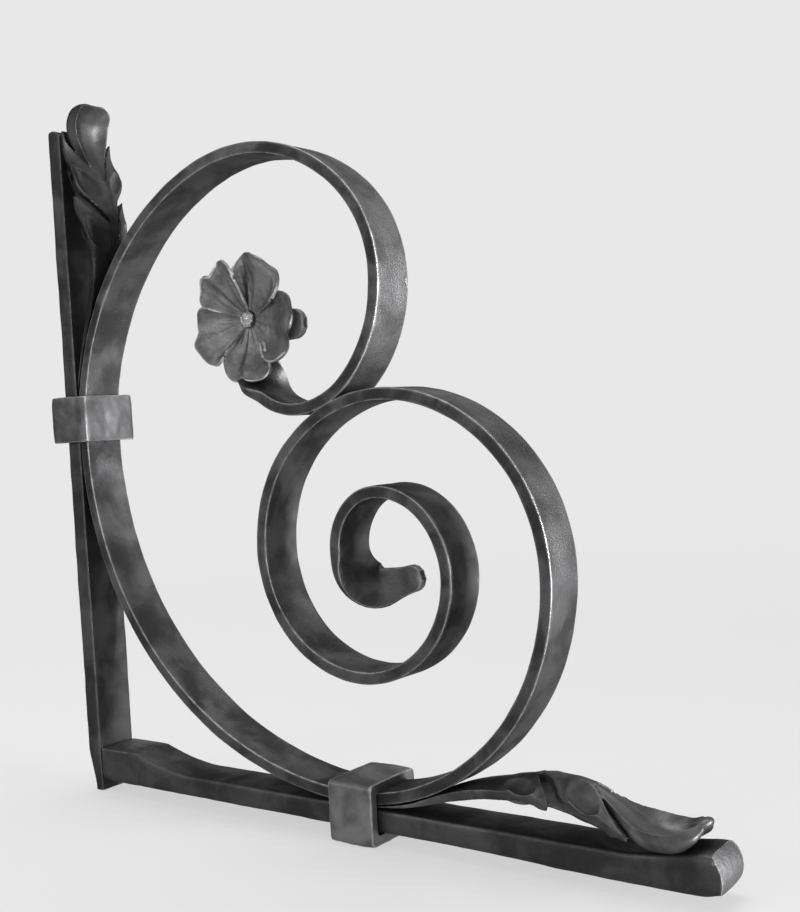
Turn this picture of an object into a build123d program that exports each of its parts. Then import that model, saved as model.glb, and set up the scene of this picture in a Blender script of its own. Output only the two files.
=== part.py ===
"""Forged corbel bracket: a wall bar, an arm and a double scroll, bound by two collars.

Millimetres, +Z up. X runs out from the wall along the arm, Y across the bars. The origin
is the middle of the bracket's footprint, on the plane that the foot and the collar of the
arm stand on.
"""

from build123d import *
import os
from math import cos, pi, radians, sin, sqrt

# ---- bars -----------------------------------------------------------------------------
BAR_WIDTH = 26.0  # wall bar and arm, across Y
BAR_BEVEL = 1.4  # hammered bevel along their long edges
WALL_THICK = 11.6
WALL_HEIGHT = 384.0  # from the standing plane
WALL_TOP_FALL = 4.0  # the top falls away towards the arm
FOOT_TAPER_RISE = 26.0  # the foot is drawn in at the back over this height
FOOT_TAPER_IN = 4.5
FOOT_ROUND = 2.5
ARM_THICK = 12.7
ARM_REACH = 386.0  # from the back of the wall bar
ARM_END_SLOPE = 9.0  # the hammered end falls away from the top over this length
ARM_END_DROP = 7.7
ARM_END_UNDERCUT = 1.2
ARM_END_BEVEL = 3.6
ROOT_HEIGHT = 31.5  # upset root of the arm where it meets the wall bar
ROOT_RUN = 75.0
ROOT_SLOPE = 0.36

# ---- scroll band ------------------------------------------------------------------------
BAND_WIDTH = 25.4
BAND_THICK = 6.9
BAND_BEVEL = 1.1
WALL_SEAT_LOW = 202.0  # the band lies flat on the wall bar between these heights
WALL_SEAT_HIGH = 216.0
ARM_SEAT = 197.8  # where the band touches the arm, from the back of the wall bar
# radius and turn in degrees of each arc, in the order they were rolled, seats inwards
LOWER_SCROLL = [(117.5, 45), (108.6, 45), (82.1, 45), (87.0, 45), (81.6, 45), (72.3, 45), (60.8, 45)]
LOWER_SCROLL += [(60.8, 45), (53.2, 45), (49.0, 45), (40.7, 45), (36.5, 45), (25.8, 45), (29.1, 45)]
UPPER_SCROLL = [(89.2, 15), (151.7, 30), (137.1, 30), (104.3, 15), (93.0, 45), (63.8, 45), (66.7, 45)]
UPPER_SCROLL += [(48.3, 45), (37.0, 35)]
# the bands' ends are drawn out, turned so that their inner face looks to the front, and
# left as round-ended tongues
LOWER_END = [(20.0, 60), (14.0, 45)]
LOWER_TONGUE = (24.0, 13.5, 4.6)  # straight length, width, thickness
LOWER_TWIST_BY = 0.68  # the turn is done this far along the end
UPPER_END = [(37.0, 40), (12.8, 105)]
UPPER_TONGUE = (24.0, 16.0, 4.6)
UPPER_TWIST_BY = 0.43
END_SECTIONS = 20

# ---- collars ----------------------------------------------------------------------------
COLLAR_THICK = 6.0
COLLAR_WIDTH = 27.0
COLLAR_CORNER = 4.0
COLLAR_BEVEL = 1.3
WALL_COLLAR_PAST = 0.5  # the middle of each collar lies this far past the band's seat
ARM_COLLAR_PAST = 3.2

# ---- leaves ------------------------------------------------------------------------------
# stations along the bar from where the root is wedged in, with the height of the midrib
# above the bar on the arm and on the wall, half width, fall to the rim, dish and thickness
LEAF_ROOT = 8.2  # the arm's leaf starts this far past the band's touching place
LEAF_BODY = [
    (3, 0.5, 1.0, 12.3, 0.0, 0.0, 0.5),
    (14, 2.0, 3.9, 12.3, 0.0, 0.0, 1.3),
    (26, 4.8, 8.1, 12.3, 0.1, 0.0, 2.2),
    (46, 12.3, 16.8, 12.4, 0.3, -0.2, 4.2),
    (61, 17.6, 22.6, 12.6, 1.6, -0.3, 5.0),
    (76, 21.4, 26.8, 13.6, 3.8, -0.2, 4.6),
    (92, 25.0, 28.2, 16.2, 7.5, 0.6, 4.0),
    (104, 25.8, 27.0, 18.0, 10.0, 1.2, 3.6),
    (116, 24.2, 23.8, 18.0, 11.0, 1.4, 3.4),
    (128, 20.4, 20.4, 18.0, 10.6, 1.4, 3.2),
    (142, 16.5, 17.0, 18.0, 9.0, 1.2, 3.0),
]
LEAF_TIP = [
    (106, 24.4, 25.4, 2.2, 0.8, 0.0, 2.6),
    (118, 22.8, 22.4, 2.8, 0.8, 0.0, 3.0),
    (124, 20.1, 20.0, 4.2, 0.8, 0.1, 3.2),
    (130, 16.7, 17.6, 6.6, 0.4, 0.3, 3.2),
    (136, 12.7, 15.0, 9.9, -0.6, 0.5, 3.2),
    (142, 9.0, 12.4, 13.0, -2.6, 0.8, 3.2),
    (148, 6.4, 10.4, 14.2, -3.8, 1.0, 3.2),
    (154, 5.2, 9.2, 14.0, -4.2, 1.0, 3.2),
    (160, 5.9, 9.2, 12.8, -4.0, 1.0, 3.3),
    (165, 8.2, 10.5, 11.0, -3.0, 0.8, 3.5),
    (168.5, 11.2, 12.8, 8.6, -1.7, 0.4, 3.6),
    (171, 13.5, 14.6, 5.2, -0.8, 0.2, 3.6),
]
# one side of the leaf in plan: the lobes' outer edges and the channels between them
LOBE_ONE_OUT = [(58, 12.5), (74, 13.3), (88, 14.8), (99, 16.8), (108, 17.4)]
LOBE_ONE_IN = [(108, 17.4), (104.5, 11.5), (99.5, 5.8), (93, 1.2)]
LOBE_TWO_OUT = [(93, 1.2), (100.5, 4.2), (105.5, 8.5), (109.5, 13), (114, 16.4), (121, 17.5), (131, 17.6), (140, 17.4)]
LOBE_TWO_IN = [(140, 17.4), (135, 11.8), (129, 6.6), (121, 1.2)]
LOBE_DISHES = [(88, 9.0, 0.9), (119, 10.4, 0.9)]  # reach, offset and depth of each hollow
DISH_RADIUS = 15.0
WALL_TIP_STRETCH = 0.94  # the wall's leaf is this much shorter past its channels
LEAF_COLUMNS = 6
FOLD_ROUND = 0.22

# ---- flower -----------------------------------------------------------------------------
FLOWER_BACK = 11.2  # its middle lies this far behind the start of the upper tongue
FLOWER_RISE = 5.0  # and this far above the tongue's middle line
FLOWER_RADIUS = 33.5
PETALS = 5
PETAL_TURN = -10.0  # direction of the first petal
PETAL_HALF = 35.4  # half of a petal's angle
PETAL_THICK = 1.5
PETAL_DISH = 7.5  # the rim stands this far in front of the middle
PETAL_RUFFLE = 1.5
PETAL_LAP = 1.6  # each petal's one side stands this much ahead of its other at the rim
PETAL_NOTCH = 0.05  # the rim is drawn in by this share at its middle
PETAL_ROUND = 0.12  # and by this share at its corners
PETAL_ROOT = 2.6
PETAL_COLUMNS = 6
PETAL_ROWS = 6
RIVET_RADIUS = 3.4
RIVET_SHANK = 2.0
RIVET_PROUD = 2.2
HEART_RADIUS = 6.0  # flat middle that the petals spring from
HEART_THICK = 2.4
PETAL_LIFT = 0.3  # the petals spring from this far inside the flat middle

# ---- places that follow -----------------------------------------------------------------
ARM_BASE = COLLAR_THICK  # the arm clears the standing plane by its collar
ARM_TOP = ARM_BASE + ARM_THICK
BACK_X = (COLLAR_THICK - ARM_REACH) / 2  # back of the wall bar
FACE_X = BACK_X + WALL_THICK  # the wall bar's face on the side of the arm
END_X = BACK_X + ARM_REACH
SEAT_X = FACE_X + BAND_THICK / 2  # middle of the band on the wall bar
ARM_SEAT_X = BACK_X + ARM_SEAT
ARM_SEAT_Z = ARM_TOP + BAND_THICK / 2
WALL_COLLAR_HEIGHT = WALL_SEAT_HIGH + WALL_COLLAR_PAST
ARM_COLLAR_X = ARM_SEAT_X + ARM_COLLAR_PAST
DOME_RADIUS = (RIVET_RADIUS**2 + RIVET_PROUD**2) / 2 / RIVET_PROUD
TONGUE_FACE = UPPER_TONGUE[2] / 2  # the flower lies on this side of the upper tongue


def roll(start, heading, turns):
    """Arcs rolled on from start in the XZ plane; a positive turn goes to the left."""
    edges = []
    for radius, turn in turns:
        point = edges[-1] @ 1 if edges else Vector(*start)
        away = (cos(radians(heading)), 0, sin(radians(heading)))
        edges.append(arc_from(point, away, radius, turn))
        heading += turn
    return edges, heading


def arc_from(point, away, radius, turn):
    side = 1 if turn > 0 else -1
    centre = point + side * radius * Vector(-away[2], 0, away[0])
    middle, end = [(point - centre).rotate(Axis.Y, -turn * part) + centre for part in (0.5, 1)]
    return Edge.make_three_point_arc(point, middle, end)


def across(path, at, turn=0):
    """The plane across a path at one place on it, turned about the path."""
    along = path % at
    return Plane(path @ at, x_dir=Vector(0, 1, 0).rotate(Axis((0, 0, 0), along), turn), z_dir=along)


def ease(value):
    """Smooth step from 0 to 1."""
    value = min(max(value, 0), 1)
    return value * value * (3 - 2 * value)


def band_section(plane, width, thick):
    bevel = min(BAND_BEVEL, thick / 4, width / 4)
    w, t = width / 2, thick / 2
    with BuildSketch(plane) as section:
        with BuildLine():
            Polyline(
                (-w + bevel, -t),
                (w - bevel, -t),
                (w, -t + bevel),
                (w, t - bevel),
                (w - bevel, t),
                (-w + bevel, t),
                (-w, t - bevel),
                (-w, -t + bevel),
                close=True,
            )
        make_face()
    return section.sketch


def end_line(start, heading, arcs, straight):
    """The line of a band's end: its arcs, then straight on."""
    edges, heading = roll(start, heading, arcs)
    edges.append(Edge.make_line(edges[-1] @ 1, edges[-1] @ 1 + straight * (edges[-1] % 1)))
    return edges


def turned_end(edges, tongue, twist_by, twist):
    """The end of a band, turned about its line by a twist and left with a round end."""
    wide, thin = tongue[1:]
    path = Wire(edges)
    rounding = 1 - wide / 2 / path.length
    sections = []
    for step in range(END_SECTIONS + 1):
        at = sin(pi / 2 * step / END_SECTIONS)
        turn = ease(at / twist_by)
        width = BAND_WIDTH + (wide - BAND_WIDTH) * ease(at / rounding) ** 2
        thick = BAND_THICK + (thin - BAND_THICK) * turn
        near_end = max(0, (at - rounding) / (1 - rounding)) * 0.97
        width *= sqrt(1 - near_end**2)
        sections.append(band_section(across(path, at, twist * turn), width, thick))
    return sections


def between(rows, reach, column):
    """A column of a table of stations at any reach, in a straight line between stations."""
    for low, high in zip(rows, rows[1:]):
        if low[0] <= reach <= high[0]:
            part = (reach - low[0]) / (high[0] - low[0])
            return low[column] + part * (high[column] - low[column])


def sheet(upper, lower):
    """A solid between two grids of points that match one to one."""
    over, under = [Face.make_surface_from_array_of_points(grid) for grid in (upper, lower)]
    sides = []
    for edge in over.edges():
        twin = under.edges().sort_by_distance(edge.center())[0]
        sides.append(Face.make_surface_from_curves(edge, twin))
    return Solid(Shell([over, under] + sides))


def leaf_sheet(base, rows, rib, stretch=1):
    """A folded or dished sheet through stations; rib picks the midrib's column."""
    grids = [[], []]
    channels = LOBE_TWO_IN[-1][0]
    for row in rows:
        half, fall, dish, thick = row[3:]
        reach = channels + (row[0] - channels) * stretch
        for grid, drop in zip(grids, (0, thick)):
            line = []
            for column in range(-LEAF_COLUMNS, LEAF_COLUMNS + 1):
                out = column / LEAF_COLUMNS
                fold = (sqrt(out**2 + FOLD_ROUND**2) - FOLD_ROUND) / (sqrt(1 + FOLD_ROUND**2) - FOLD_ROUND)
                height = row[rib] - fall * fold - dish * sin(pi * out) ** 2 - drop
                line.append(base.from_local_coords(Vector(reach, half * out, height)))
            grid.append(line)
    return sheet(*grids)


def forge_leaf(base, rib, tip_stretch):
    """The leaf on a bar: base lies on the bar's face, its X along the bar."""
    add(leaf_sheet(base, LEAF_BODY, rib))
    with BuildSketch(base) as plan:
        with BuildLine():
            Line((0, 0), (0, LOBE_ONE_OUT[0][1]))
            Line((0, LOBE_ONE_OUT[0][1]), LOBE_ONE_OUT[0])
            for edge in (LOBE_ONE_OUT, LOBE_ONE_IN, LOBE_TWO_OUT, LOBE_TWO_IN):
                Spline(*edge)
            Line(LOBE_TWO_IN[-1], (LOBE_TWO_IN[-1][0], 0))
            mirror(about=Plane.XZ)
        make_face()
    extrude(plan.sketch, amount=40, both=True, mode=Mode.INTERSECT)
    add(leaf_sheet(base, LEAF_TIP, rib, tip_stretch))
    for reach, offset, depth in LOBE_DISHES:
        half, fall = between(LEAF_BODY, reach, 3), between(LEAF_BODY, reach, 4)
        length = sqrt(half**2 + fall**2)
        height = between(LEAF_BODY, reach, rib) - fall * offset / half
        for side in (-1, 1):
            lift = DISH_RADIUS - depth - between(LEAF_BODY, reach, 5)
            place = (reach, side * (offset + lift * fall / length), height + lift * half / length)
            with Locations(base.from_local_coords(Vector(*place))):
                Sphere(DISH_RADIUS, mode=Mode.SUBTRACT)


def petal(axis, angle):
    """One ruffled petal, a sheet over angle and radius, in front of the upper tongue."""
    front, back = [], []
    for i in range(-PETAL_COLUMNS, PETAL_COLUMNS + 1):
        spread = i / PETAL_COLUMNS
        turn = radians(angle + spread * PETAL_HALF)
        rim = FLOWER_RADIUS * (1 - PETAL_NOTCH * (1 + cos(2 * pi * spread)) / 2 - PETAL_ROUND * spread**4)
        for grid, face in ((front, PETAL_LIFT + PETAL_THICK), (back, PETAL_LIFT)):
            line = []
            for j in range(PETAL_ROWS + 1):
                out = j / PETAL_ROWS
                reach = PETAL_ROOT + (rim - PETAL_ROOT) * out
                forward = PETAL_DISH * out**2 + PETAL_LAP * spread * out
                forward += PETAL_RUFFLE * out**2 * cos(2 * pi * spread)
                line.append(axis.from_local_coords(
                    Vector(reach * cos(turn), reach * sin(turn), forward + face)
                ))
            grid.append(line)
    return sheet(front, back)


# ---- bars -----------------------------------------------------------------------------
with BuildPart() as wall_bar:
    with BuildSketch(Plane.XZ):
        with BuildLine():
            foot = Line((FACE_X, FOOT_ROUND), (FACE_X, WALL_HEIGHT - WALL_TOP_FALL))
            crown = Spline(
                foot @ 1,
                (FACE_X - WALL_THICK * 0.6, WALL_HEIGHT),
                (BACK_X, WALL_HEIGHT - WALL_TOP_FALL * 0.8),
                tangents=((-1, 0.9), (-0.5, -1)),
            )
            Line(crown @ 1, (BACK_X, FOOT_TAPER_RISE))
            taper = Line((BACK_X, FOOT_TAPER_RISE), (BACK_X + FOOT_TAPER_IN, FOOT_ROUND))
            ThreePointArc(taper @ 1, ((FACE_X + (taper @ 1).X) / 2, 0), foot @ 0)
        make_face()
    extrude(amount=BAR_WIDTH / 2, both=True)
    chamfer(wall_bar.edges().filter_by(Axis.Z), BAR_BEVEL)
wall_bar.part.label = "wall_bar"

with BuildPart() as arm:
    with BuildSketch(Plane.XZ):
        with BuildLine():
            root = Spline(
                (FACE_X, ARM_BASE + ROOT_HEIGHT),
                (FACE_X + ROOT_RUN, ARM_TOP),
                tangents=((1, -ROOT_SLOPE), (1, 0)),
            )
            Polyline(
                root @ 1,
                (END_X - ARM_END_SLOPE, ARM_TOP),
                (END_X, ARM_TOP - ARM_END_DROP),
                (END_X - ARM_END_UNDERCUT, ARM_BASE),
                (FACE_X, ARM_BASE),
                root @ 0,
            )
        make_face()
    extrude(amount=BAR_WIDTH / 2, both=True)
    corners = arm.edges().filter_by(lambda e: e.center().X > END_X - ARM_END_SLOPE)
    chamfer(corners.filter_by(Axis.Y, reverse=True), ARM_END_BEVEL)
arm.part.label = "arm"

# ---- scroll band ------------------------------------------------------------------------
with BuildPart() as scroll_bar:
    run, rise = ARM_SEAT_X - SEAT_X, WALL_SEAT_LOW - ARM_SEAT_Z
    slant = cos(pi / 4)
    # two arcs of 45 degrees carry the band from the wall seat down to the arm seat
    first = (run * (1 - slant) - rise * slant) / ((1 - slant) ** 2 - slant**2)
    second = (run - first * (1 - slant)) / slant
    seat = [Edge.make_line((SEAT_X, 0, WALL_SEAT_HIGH), (SEAT_X, 0, WALL_SEAT_LOW))]
    lower, heading = roll((SEAT_X, 0, WALL_SEAT_LOW), -90, [(first, 45), (second, 45)] + LOWER_SCROLL)
    upper, up_heading = roll((SEAT_X, 0, WALL_SEAT_HIGH), 90, [(r, -t) for r, t in UPPER_SCROLL])
    for path in (Wire(seat + lower), Wire(upper)):
        sweep(band_section(across(path, 0), BAND_WIDTH, BAND_THICK), path=path)
    lower_end = end_line(lower[-1] @ 1, heading, LOWER_END, LOWER_TONGUE[0])
    loft(turned_end(lower_end, LOWER_TONGUE, LOWER_TWIST_BY, 90))
    upper_arcs = [(radius, -turn) for radius, turn in UPPER_END]
    upper_end = end_line(upper[-1] @ 1, up_heading, upper_arcs, UPPER_TONGUE[0])
    loft(turned_end(upper_end, UPPER_TONGUE, UPPER_TWIST_BY, -90))
    flower_middle = upper_end[-1] @ 0 + Vector(-FLOWER_BACK, -TONGUE_FACE, FLOWER_RISE)
    flower_axis = Plane(flower_middle, x_dir=(1, 0, 0), z_dir=(0, -1, 0))
    with BuildSketch(flower_axis) as hole:
        Circle(RIVET_SHANK)
    extrude(hole.sketch, amount=-2 * TONGUE_FACE, both=True, mode=Mode.SUBTRACT)
scroll_bar.part.label = "scroll_bar"

# ---- leaves ----------------------------------------------------------------------------
with BuildPart() as arm_leaf:
    forge_leaf(Plane((ARM_SEAT_X + LEAF_ROOT, 0, ARM_TOP)), 1, 1)
    add(scroll_bar.part, mode=Mode.SUBTRACT)
arm_leaf.part.label = "arm_leaf"

with BuildPart() as wall_leaf:
    top = WALL_COLLAR_HEIGHT + COLLAR_WIDTH / 2
    forge_leaf(Plane((FACE_X, 0, top), x_dir=(0, 0, 1), z_dir=(1, 0, 0)), 2, WALL_TIP_STRETCH)
    add(scroll_bar.part, mode=Mode.SUBTRACT)
wall_leaf.part.label = "wall_leaf"

# ---- collars ----------------------------------------------------------------------------
with BuildPart() as wall_collar:
    thick = WALL_THICK + BAND_THICK + 2 * COLLAR_THICK
    middle = BACK_X - COLLAR_THICK + thick / 2
    with BuildSketch(Plane.XY.offset(WALL_COLLAR_HEIGHT - COLLAR_WIDTH / 2)):
        with Locations((middle, 0)):
            RectangleRounded(thick, BAR_WIDTH + 2 * COLLAR_THICK, COLLAR_CORNER)
    extrude(amount=COLLAR_WIDTH)
    chamfer(wall_collar.faces().filter_by(Axis.Z).edges(), COLLAR_BEVEL)
    with Locations((middle, 0, WALL_COLLAR_HEIGHT)):
        Box(WALL_THICK + BAND_THICK, BAR_WIDTH, COLLAR_WIDTH, mode=Mode.SUBTRACT)
    add(scroll_bar.part, mode=Mode.SUBTRACT)
wall_collar.part.label = "wall_collar"

with BuildPart() as arm_collar:
    tall = ARM_THICK + BAND_THICK + 2 * COLLAR_THICK
    with BuildSketch(Plane.YZ.offset(ARM_COLLAR_X - COLLAR_WIDTH / 2)):
        with Locations((0, tall / 2)):
            RectangleRounded(BAR_WIDTH + 2 * COLLAR_THICK, tall, COLLAR_CORNER)
    extrude(amount=COLLAR_WIDTH)
    chamfer(arm_collar.faces().filter_by(Axis.X).edges(), COLLAR_BEVEL)
    with Locations((ARM_COLLAR_X, 0, tall / 2)):
        Box(COLLAR_WIDTH, BAR_WIDTH, ARM_THICK + BAND_THICK, mode=Mode.SUBTRACT)
    add(scroll_bar.part, mode=Mode.SUBTRACT)
arm_collar.part.label = "arm_collar"

# ---- flower ----------------------------------------------------------------------------
with BuildPart() as flower_rivet:
    with BuildSketch(flower_axis):
        Circle(RIVET_SHANK)
    extrude(amount=HEART_THICK)
    with BuildSketch(flower_axis):
        Circle(RIVET_SHANK)
    extrude(amount=-2 * TONGUE_FACE)
    for face, out in ((HEART_THICK, 1), (-2 * TONGUE_FACE, -1)):
        with BuildSketch(Plane(flower_axis.offset(face).origin, x_dir=(1, 0, 0), z_dir=(0, 0, 1))):
            with BuildLine():
                Polyline((RIVET_RADIUS, 0), (0, 0), (0, -out * RIVET_PROUD))
                RadiusArc((0, -out * RIVET_PROUD), (RIVET_RADIUS, 0), -out * DOME_RADIUS)
            make_face()
        revolve(axis=Axis(flower_axis.origin, (0, 1, 0)))
flower_rivet.part.label = "flower_rivet"

with BuildPart() as flower:
    for k in range(PETALS):
        add(petal(flower_axis, PETAL_TURN + 360 / PETALS * k))
    with BuildSketch(flower_axis):
        Circle(HEART_RADIUS)
    extrude(amount=HEART_THICK)
    add(flower_rivet.part, mode=Mode.SUBTRACT)
    add(scroll_bar.part, mode=Mode.SUBTRACT)
flower.part.label = "flower"

os.makedirs("parts", exist_ok=True)
pieces = (wall_bar, arm, scroll_bar, wall_collar, arm_collar, arm_leaf, wall_leaf, flower, flower_rivet)
for piece in pieces:
    export_step(piece.part, f"parts/{piece.part.label}.step")
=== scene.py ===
"""Forged corbel bracket dressed over its solids: rolled band, chased leaves, flower and collars.

Lengths are millimetres times MM; X runs out from the wall, Y across the bars, Z up.
"""

from math import ceil, cos, exp, pi, radians, sin, sqrt

import bpy
from mathutils import Matrix, Vector


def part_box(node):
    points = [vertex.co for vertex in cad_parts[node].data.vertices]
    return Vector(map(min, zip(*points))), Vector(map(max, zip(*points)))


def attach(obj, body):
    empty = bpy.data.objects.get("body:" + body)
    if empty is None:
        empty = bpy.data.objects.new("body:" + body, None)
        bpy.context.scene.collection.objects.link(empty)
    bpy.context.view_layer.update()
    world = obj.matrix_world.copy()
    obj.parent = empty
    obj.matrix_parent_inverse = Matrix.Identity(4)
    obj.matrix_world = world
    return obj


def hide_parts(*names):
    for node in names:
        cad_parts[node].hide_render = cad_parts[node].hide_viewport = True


MM = 0.001

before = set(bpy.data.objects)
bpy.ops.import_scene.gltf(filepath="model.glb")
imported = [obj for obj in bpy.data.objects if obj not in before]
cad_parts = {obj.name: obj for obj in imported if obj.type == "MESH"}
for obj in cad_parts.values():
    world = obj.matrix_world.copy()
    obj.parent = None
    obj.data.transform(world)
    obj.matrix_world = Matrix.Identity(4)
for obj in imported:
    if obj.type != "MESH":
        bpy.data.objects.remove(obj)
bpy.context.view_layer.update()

# ---- places taken from the solids ----------------------------------------------------------
wall_low, wall_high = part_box("wall_bar")
arm_low, arm_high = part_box("arm")
rivet_low, rivet_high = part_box("flower_rivet")
arm_collar_low, arm_collar_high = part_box("arm_collar")
wall_collar_low, wall_collar_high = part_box("wall_collar")

BAR_WIDTH = arm_high.y - arm_low.y
WALL_THICK = wall_high.x - wall_low.x
ARM_THICK = 12.7 * MM
ARM_TOP = arm_low.z + ARM_THICK
BACK_X, FACE_X, END_X = wall_low.x, wall_high.x, arm_high.x

# ---- the rolled band -----------------------------------------------------------------------
BAND_WIDTH = 25.4 * MM
BAND_THICK = 6.9 * MM
WALL_SEAT_LOW = 202.0 * MM
WALL_SEAT_HIGH = 216.0 * MM
ARM_SEAT = 197.8 * MM
# radius and turn of each arc, from the seats inwards to the tongues
LOWER_SCROLL = [(117.5, 45), (108.6, 45), (82.1, 45), (87.0, 45), (81.6, 45), (72.3, 45), (60.8, 45)]
LOWER_SCROLL += [(60.8, 45), (53.2, 45), (49.0, 45), (40.7, 45), (36.5, 45), (25.8, 45), (29.1, 45)]
UPPER_SCROLL = [(89.2, 15), (151.7, 30), (137.1, 30), (104.3, 15), (93.0, 45), (63.8, 45), (66.7, 45)]
UPPER_SCROLL += [(48.3, 45), (37.0, 35)]
LOWER_END = [(20.0, 60), (14.0, 45)]
LOWER_TONGUE = (24.0, 13.5, 4.6)  # straight length, width, thickness
LOWER_TWIST_BY = 0.68
UPPER_END = [(37.0, 40), (12.8, 105)]
UPPER_TONGUE = (24.0, 16.0, 4.6)
UPPER_TWIST_BY = 0.43
BAND_BEVEL = 1.1 * MM
BAND_STEP = 2.3 * MM
BAND_BLOWS = [(9, 0.45), (26, 0.5)]
ARC_STEP = 2.5  # degrees between the points along an arc
TONGUE_STEPS = 12
TIP_ROUNDNESS = 0.985
TIP_THINNING = 0.4
# the part of the upper tongue that shows beside the flower, from the flower's middle; its front faces
# get a lighter steel, painted light where the flower shades them
TONGUE_SHOWS = (10 * MM, 45 * MM)
TONGUE_SHOWS_HIGH = 17 * MM
FACES_FRONT = -0.3


# ---- small helpers for the workbench -------------------------------------------------------
MOST_CUTS = 50  # at one go
ARRIS_FULLNESS = 0.55


def ease(value):
    value = min(max(value, 0.0), 1.0)
    return value * value * (3 - 2 * value)


def clear_choice():
    if bpy.context.mode != "OBJECT":
        bpy.ops.object.mode_set(mode="OBJECT")
    bpy.ops.object.select_all(action="DESELECT")


def take(piece):
    """Only this piece is selected and active."""
    clear_choice()
    piece.select_set(True)
    bpy.context.view_layer.objects.active = piece
    return piece


def fix(piece, kind, **settings):
    """A modifier, set and applied."""
    take(piece)
    modifier = piece.modifiers.new(kind.lower(), kind)
    for key, value in settings.items():
        setattr(modifier, key, value)
    bpy.ops.object.modifier_apply(modifier=modifier.name)
    return piece


def edit(piece, mode):
    take(piece)
    bpy.ops.object.mode_set(mode="EDIT")
    bpy.ops.mesh.select_mode(type=mode)
    bpy.ops.mesh.select_all(action="DESELECT")
    bpy.ops.object.mode_set(mode="OBJECT")


def choose_edges(piece, axis):
    """Selects every edge that runs along one axis."""
    edit(piece, "EDGE")
    points = piece.data.vertices
    for edge in piece.data.edges:
        run = points[edge.vertices[1]].co - points[edge.vertices[0]].co
        edge.select = abs(run[axis]) > 0.99 * run.length
    bpy.ops.object.mode_set(mode="EDIT")


def cut_across(piece, axis, length, step):
    """Even cuts across every edge that runs along one axis."""
    parts = ceil(length / step)
    while parts > 1:
        now = min(parts, MOST_CUTS)
        choose_edges(piece, axis)
        bpy.ops.mesh.subdivide(number_cuts=now - 1)
        bpy.ops.object.mode_set(mode="OBJECT")
        parts = ceil(parts / now)


def ease_arrises(piece, axis, offset, segments=3):
    """Bevels the four long corners of a bar that runs along one axis."""
    choose_edges(piece, axis)
    bpy.ops.mesh.bevel(offset=offset, segments=segments, profile=ARRIS_FULLNESS, affect="EDGES")
    bpy.ops.object.mode_set(mode="OBJECT")


def block(low, high):
    """A plain block between two corners, for working on."""
    clear_choice()
    bpy.ops.mesh.primitive_cube_add(size=1, location=(low + high) / 2)
    piece = bpy.context.object
    piece.scale = high - low
    bpy.ops.object.transform_apply(location=True, rotation=True, scale=True)
    return piece


def joined(pieces):
    """One piece made of several, kept under the first one's name."""
    clear_choice()
    for piece in pieces:
        piece.select_set(True)
    bpy.context.view_layer.objects.active = pieces[0]
    bpy.ops.object.join()
    return bpy.context.object


def straight_bar(name, low, high, axis, bevel, step):
    """A bar between two corners, its long corners eased, cut evenly for hammering."""
    piece = block(low, high)
    piece.name = name
    ease_arrises(piece, axis, bevel)
    for side in [a for a in range(3) if a != axis]:
        cut_across(piece, side, high[side] - low[side], step)
    cut_across(piece, axis, high[axis] - low[axis], step)
    return piece


def clouds(name, size, depth):
    texture = bpy.data.textures.new(name, "CLOUDS")
    texture.noise_scale = size
    texture.noise_depth = depth
    texture.noise_basis = "ORIGINAL_PERLIN"
    return texture


def hammer(piece, blows):
    """Shallow dents, inwards only, over the whole piece. Each blow has a size and a depth."""
    for size, depth in blows:
        fix(
            piece,
            "DISPLACE",
            texture=clouds(piece.name + " dents", size * MM, 1),
            texture_coords="LOCAL",
            strength=depth * MM,
            mid_level=1.0,
        )


def soften(piece, grain, passes):
    """One closed skin over everything in the piece, then smoothed."""
    take(piece)
    piece.data.remesh_voxel_size = grain
    bpy.ops.object.voxel_remesh()
    fix(piece, "SMOOTH", factor=0.5, iterations=passes)


def shade(piece, angle=None):
    take(piece)
    if angle is None:
        bpy.ops.object.shade_smooth()
    else:
        bpy.ops.object.shade_smooth_by_angle(angle=radians(angle))


# ---- rolled band ---------------------------------------------------------------------------
def rolled(start, heading, arcs, step=ARC_STEP):
    """Points (x, z) along arcs that follow on from one another."""
    x, z = start
    points = []
    for radius, turn in arcs:
        pieces = ceil(abs(turn) / step)
        chord = 2 * radius * MM * sin(radians(abs(turn) / pieces / 2))
        for _ in range(pieces):
            heading += turn / pieces / 2
            x += chord * cos(radians(heading))
            z += chord * sin(radians(heading))
            points.append((x, z))
            heading += turn / pieces / 2
    return points, heading


def end_run(points, heading, arcs, tongue):
    """The run of the band's end, and its length."""
    bent, heading = rolled(points[-1], heading, arcs)
    x, z = bent[-1]
    straight = tongue[0] * MM
    for step in range(1, TONGUE_STEPS + 1):
        along = straight * step / TONGUE_STEPS
        bent.append((x + along * cos(radians(heading)), z + along * sin(radians(heading))))
    length = sum(radius * radians(abs(turn)) for radius, turn in arcs) * MM + straight
    return bent, length


def path_length(points):
    return sum(sqrt((b[0] - a[0]) ** 2 + (b[1] - a[1]) ** 2) for a, b in zip(points, points[1:]))


def drawn_end(piece, tip, inward, length, tongue, twist_by):
    """Draws one end of the straight band down to a round-ended tongue."""
    wide, thin = tongue[1] * MM, tongue[2] * MM
    rounding = 1 - wide / 2 / length
    for vertex in piece.data.vertices:
        from_tip = (vertex.co.x - tip) * inward
        at = 1 - from_tip / length
        if at <= 0:
            continue
        width = BAND_WIDTH + (wide - BAND_WIDTH) * ease(at / rounding) ** 2
        thick = BAND_THICK + (thin - BAND_THICK) * ease(at / twist_by)
        near_end = min(max(0.0, (at - rounding) / (1 - rounding)), 1.0) * TIP_ROUNDNESS
        vertex.co.y *= width * sqrt(1 - near_end**2) / BAND_WIDTH
        vertex.co.z *= thick * sqrt(1 - TIP_THINNING * near_end**4) / BAND_THICK


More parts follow.
